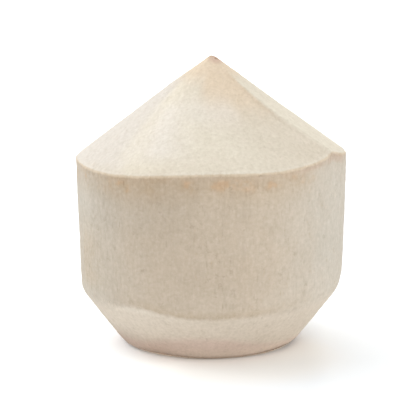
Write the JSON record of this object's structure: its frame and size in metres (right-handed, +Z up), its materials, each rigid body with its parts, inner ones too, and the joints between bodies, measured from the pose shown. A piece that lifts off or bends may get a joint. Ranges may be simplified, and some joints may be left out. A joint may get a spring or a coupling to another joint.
{
  "type": "trimmed young coconut",
  "caption": "Peeled young coconut, shaved to a cream husk body with a conical top, upright flank, bevelled lower edge and a small flat foot it stands on.",
  "frame": {"origin": "on the plane of the flat foot, under the axis of the upright flank", "axes": "+Z up along the flank's axis towards the pointed tip, -Y towards the side with the ridge on its right, +X to the right of that side"},
  "size_m": [0.12, 0.12, 0.1278],
  "materials": {
    "husk": "matte"
  },
  "bodies": {
    "root": {"trimmed_husk": "husk"}
  },
  "joints": []
}
